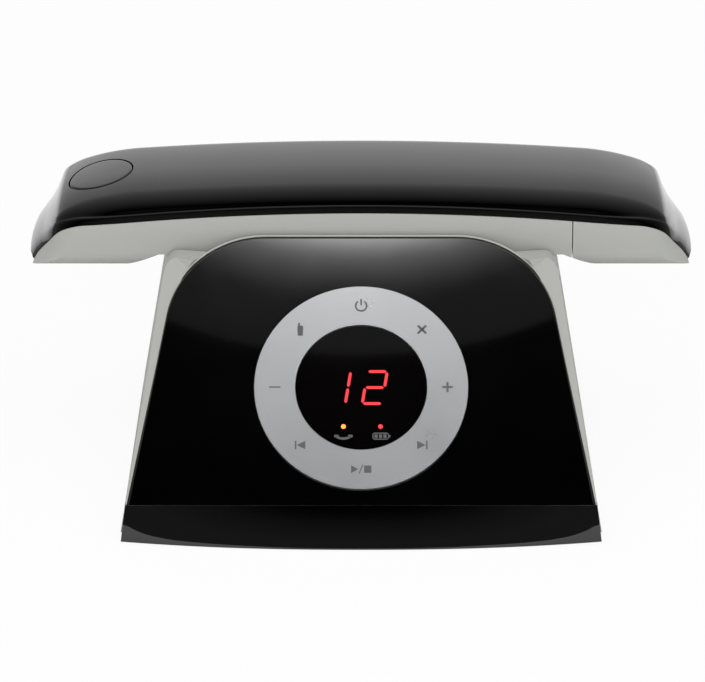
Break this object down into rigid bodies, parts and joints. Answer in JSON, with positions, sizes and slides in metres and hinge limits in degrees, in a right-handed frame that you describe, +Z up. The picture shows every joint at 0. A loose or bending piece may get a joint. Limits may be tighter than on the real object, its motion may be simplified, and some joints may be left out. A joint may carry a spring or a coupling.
{
  "type": "cordless telephone with answering base",
  "caption": "Retro cordless telephone: a long curved handset resting across a sloped answering base with a round brushed control ring and a number display.",
  "frame": {"origin": "bottom centre of the bounding box, on the table under the feet", "axes": "+Z up, X along the handset with its round key at -X, the control ring faces -Y"},
  "size_m": [0.2162, 0.142, 0.0896],
  "materials": {
    "grey_shell": "satin moulded grey plastic",
    "black_gloss": "polished black plastic",
    "black_matte": "fine-grained black plastic",
    "foot_rubber": "matte black rubber",
    "screw_steel": "zinc-plated steel",
    "plate_steel": "rolled steel",
    "speaker_black": "coated paper and steel",
    "circuit_green": "solder mask",
    "antenna_brass": "sheet brass",
    "socket_black": "moulded black",
    "gold_contact": "gold-plated",
    "display_glass": "smoked window",
    "display_red": "red segment display",
    "led_amber": "clear tinted lens",
    "ring_aluminium": "circularly brushed aluminium",
    "mat_rubber": "silicone",
    "cell_green": "printed sleeve",
    "contact_steel": "nickel-plated",
    "lcd_grey": "reflective LCD",
    "lcd_glass": "clear window",
    "key_silver": "silver-painted plastic",
    "key_green": "green plastic",
    "key_red": "red plastic",
    "key_black": "black plastic"
  },
  "bodies": {
    "base": {"main_housing": "grey_shell", "front_panel": "black_gloss", "front_skirt": "black_gloss", "bottom_tray": "black_matte", "rubber_feet": "foot_rubber", "case_screws": "screw_steel", "ballast_plate": "plate_steel", "base_speaker": "speaker_black", "main_board": "circuit_green", "antenna": "antenna_brass", "line_jack": "socket_black", "power_jack": "socket_black", "pin_block": "black_matte", "display_carrier": "black_matte", "display_window": "display_glass", "segment_display": "display_red", "status_leds": "led_amber"},
    "ring_mat": {"ring_key_mat": "mat_rubber"},
    "ring": {"control_ring": "ring_aluminium"},
    "pins": {"charge_pins": "gold_contact"},
    "handset": {"handset_top_shell": "black_gloss", "handset_lower_shell": "grey_shell", "battery_cells": "cell_green", "battery_contacts": "contact_steel", "earpiece": "speaker_black", "microphone": "contact_steel", "handset_board": "circuit_green", "key_mat": "mat_rubber", "lcd_module": "lcd_grey", "lcd_window": "lcd_glass", "contact_pads": "gold_contact", "handset_screws": "screw_steel"},
    "cover": {"battery_cover": "grey_shell"},
    "back_key": {"round_key": "black_gloss"},
    "soft_left_key_body": {"soft_left_key": "key_silver"},
    "up_key_body": {"up_key": "key_silver"},
    "soft_right_key_body": {"soft_right_key": "key_silver"},
    "talk_key_body": {"talk_key": "key_green"},
    "down_key_body": {"down_key": "key_silver"},
    "end_key_body": {"end_key": "key_red"},
    "key_1_body": {"key_1": "key_black"},
    "key_2_body": {"key_2": "key_black"},
    "key_3_body": {"key_3": "key_black"},
    "key_4_body": {"key_4": "key_black"},
    "key_5_body": {"key_5": "key_black"},
    "key_6_body": {"key_6": "key_black"},
    "key_7_body": {"key_7": "key_black"},
    "key_8_body": {"key_8": "key_black"},
    "key_9_body": {"key_9": "key_black"},
    "key_star_body": {"key_star": "key_black"},
    "key_0_body": {"key_0": "key_black"},
    "key_hash_body": {"key_hash": "key_black"}
  },
  "joints": [
    {"name": "handset_lift", "type": "slide", "parent": "base", "child": "handset", "axis": [0, 0, 1], "range_m": [0, 0.08]},
    {"name": "ring_rock_up_down", "type": "hinge", "parent": "base", "child": "ring_mat", "pos_m": [0, -0.03582, 0.03958], "axis": [1, 0, 0], "range_deg": [-0.7, 0.7], "stiffness_Nm_per_rad": 2},
    {"name": "ring_rock_left_right", "type": "hinge", "parent": "ring_mat", "child": "ring", "pos_m": [0, -0.03582, 0.03958], "axis": [0, 0.7071, 0.7071], "range_deg": [-0.7, 0.7], "stiffness_Nm_per_rad": 2},
    {"name": "charge_pins_press", "type": "slide", "parent": "base", "child": "pins", "axis": [0, 0, 1], "range_m": [-0.001, 0], "stiffness_N_per_m": 150},
    {"name": "cover_slide", "type": "slide", "parent": "handset", "child": "cover", "axis": [0.21, 0, -0.9777], "range_m": [0, 0.045]},
    {"name": "round_key_press", "type": "slide", "parent": "handset", "child": "back_key", "axis": [0.2398, 0, -0.9708], "range_m": [0, 0.0006], "stiffness_N_per_m": 400},
    {"name": "soft_left_key_press", "type": "slide", "parent": "handset", "child": "soft_left_key_body", "axis": [0, 0, 1], "range_m": [0, 0.0005], "stiffness_N_per_m": 300},
    {"name": "up_key_press", "type": "slide", "parent": "handset", "child": "up_key_body", "axis": [0, 0, 1], "range_m": [0, 0.0005], "stiffness_N_per_m": 300},
    {"name": "soft_right_key_press", "type": "slide", "parent": "handset", "child": "soft_right_key_body", "axis": [0, 0, 1], "range_m": [0, 0.0005], "stiffness_N_per_m": 300},
    {"name": "talk_key_press", "type": "slide", "parent": "handset", "child": "talk_key_body", "axis": [0, 0, 1], "range_m": [0, 0.0005], "stiffness_N_per_m": 300},
    {"name": "down_key_press", "type": "slide", "parent": "handset", "child": "down_key_body", "axis": [0, 0, 1], "range_m": [0, 0.0005], "stiffness_N_per_m": 300},
    {"name": "end_key_press", "type": "slide", "parent": "handset", "child": "end_key_body", "axis": [0, 0, 1], "range_m": [0, 0.0005], "stiffness_N_per_m": 300},
    {"name": "key_1_press", "type": "slide", "parent": "handset", "child": "key_1_body", "axis": [0, 0, 1], "range_m": [0, 0.0005], "stiffness_N_per_m": 300},
    {"name": "key_2_press", "type": "slide", "parent": "handset", "child": "key_2_body", "axis": [0, 0, 1], "range_m": [0, 0.0005], "stiffness_N_per_m": 300},
    {"name": "key_3_press", "type": "slide", "parent": "handset", "child": "key_3_body", "axis": [0, 0, 1], "range_m": [0, 0.0005], "stiffness_N_per_m": 300},
    {"name": "key_4_press", "type": "slide", "parent": "handset", "child": "key_4_body", "axis": [0, 0, 1], "range_m": [0, 0.0005], "stiffness_N_per_m": 300},
    {"name": "key_5_press", "type": "slide", "parent": "handset", "child": "key_5_body", "axis": [0, 0, 1], "range_m": [0, 0.0005], "stiffness_N_per_m": 300},
    {"name": "key_6_press", "type": "slide", "parent": "handset", "child": "key_6_body", "axis": [0, 0, 1], "range_m": [0, 0.0005], "stiffness_N_per_m": 300},
    {"name": "key_7_press", "type": "slide", "parent": "handset", "child": "key_7_body", "axis": [0, 0, 1], "range_m": [0, 0.0005], "stiffness_N_per_m": 300},
    {"name": "key_8_press", "type": "slide", "parent": "handset", "child": "key_8_body", "axis": [0, 0, 1], "range_m": [0, 0.0005], "stiffness_N_per_m": 300},
    {"name": "key_9_press", "type": "slide", "parent": "handset", "child": "key_9_body", "axis": [0, 0, 1], "range_m": [0, 0.0005], "stiffness_N_per_m": 300},
    {"name": "key_star_press", "type": "slide", "parent": "handset", "child": "key_star_body", "axis": [0, 0, 1], "range_m": [0, 0.0005], "stiffness_N_per_m": 300},
    {"name": "key_0_press", "type": "slide", "parent": "handset", "child": "key_0_body", "axis": [0, 0, 1], "range_m": [0, 0.0005], "stiffness_N_per_m": 300},
    {"name": "key_hash_press", "type": "slide", "parent": "handset", "child": "key_hash_body", "axis": [0, 0, 1], "range_m": [0, 0.0005], "stiffness_N_per_m": 300}
  ]
}
